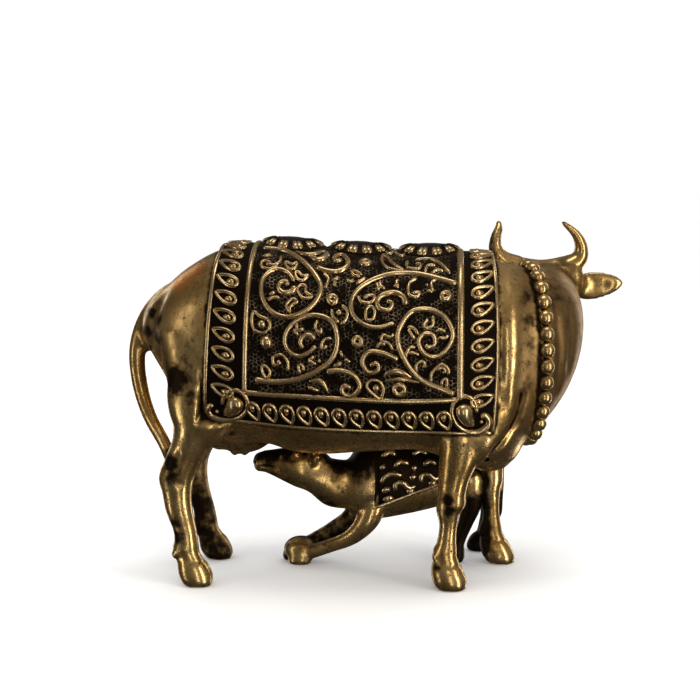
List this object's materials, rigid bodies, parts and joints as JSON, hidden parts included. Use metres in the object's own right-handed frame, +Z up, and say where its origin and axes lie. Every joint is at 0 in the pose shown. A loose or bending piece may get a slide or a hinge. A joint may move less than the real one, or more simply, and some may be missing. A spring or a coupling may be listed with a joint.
{
  "type": "cow and calf figurine",
  "caption": "Cast brass statue of a standing cow in a carved saddle cloth and bead garland, head turned back to her left, with a suckling calf under the belly.",
  "frame": {"origin": "bottom centre of the bounding box, on the ground under the belly", "axes": "+X from the tail to the chest, +Y to the cow's left, the side she turns her head to, +Z up"},
  "size_m": [0.1354, 0.0696, 0.096],
  "materials": {
    "cow": "antique polished, dark patina in the recesses",
    "calf": "antique polished, dark patina in the recesses"
  },
  "bodies": {
    "root": {"cow": "cow", "calf": "calf"}
  },
  "joints": []
}
